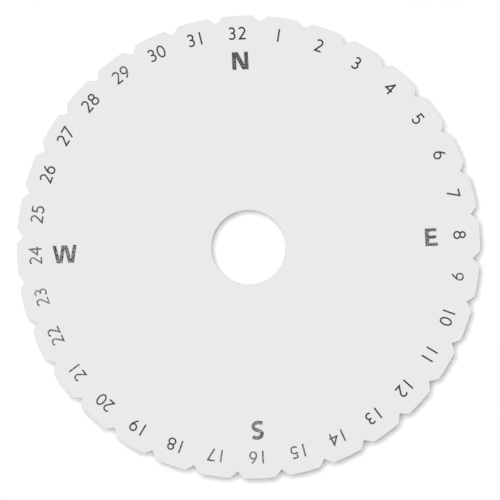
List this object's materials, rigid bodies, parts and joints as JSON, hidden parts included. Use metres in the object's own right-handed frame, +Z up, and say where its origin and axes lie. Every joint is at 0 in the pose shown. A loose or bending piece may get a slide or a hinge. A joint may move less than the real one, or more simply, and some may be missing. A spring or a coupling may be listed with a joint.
{
  "type": "round braiding disk",
  "caption": "Round foam braiding disk with a central hole, V-mouthed thread slots round the rim, printed tab numbers and four direction letters.",
  "frame": {"origin": "centre of the hole, on the underside", "axes": "+Z up out of the printed face along the hole; +Y towards tab 32 and the letter N; +X towards tab 8 and the letter E"},
  "size_m": [0.15, 0.15, 0.0101],
  "materials": {
    "foam": "matte, firm closed-cell foam with a fine skin",
    "ink": "matte dark grey ink, unevenly printed"
  },
  "bodies": {
    "root": {"foam_disk": "foam", "number_01": "ink", "number_02": "ink", "number_03": "ink", "number_04": "ink", "number_05": "ink", "number_06": "ink", "number_07": "ink", "number_08": "ink", "number_09": "ink", "number_10": "ink", "number_11": "ink", "number_12": "ink", "number_13": "ink", "number_14": "ink", "number_15": "ink", "number_16": "ink", "number_17": "ink", "number_18": "ink", "number_19": "ink", "number_20": "ink", "number_21": "ink", "number_22": "ink", "number_23": "ink", "number_24": "ink", "number_25": "ink", "number_26": "ink", "number_27": "ink", "number_28": "ink", "number_29": "ink", "number_30": "ink", "number_31": "ink", "number_32": "ink", "letter_n": "ink", "letter_e": "ink", "letter_s": "ink", "letter_w": "ink"}
  },
  "joints": []
}
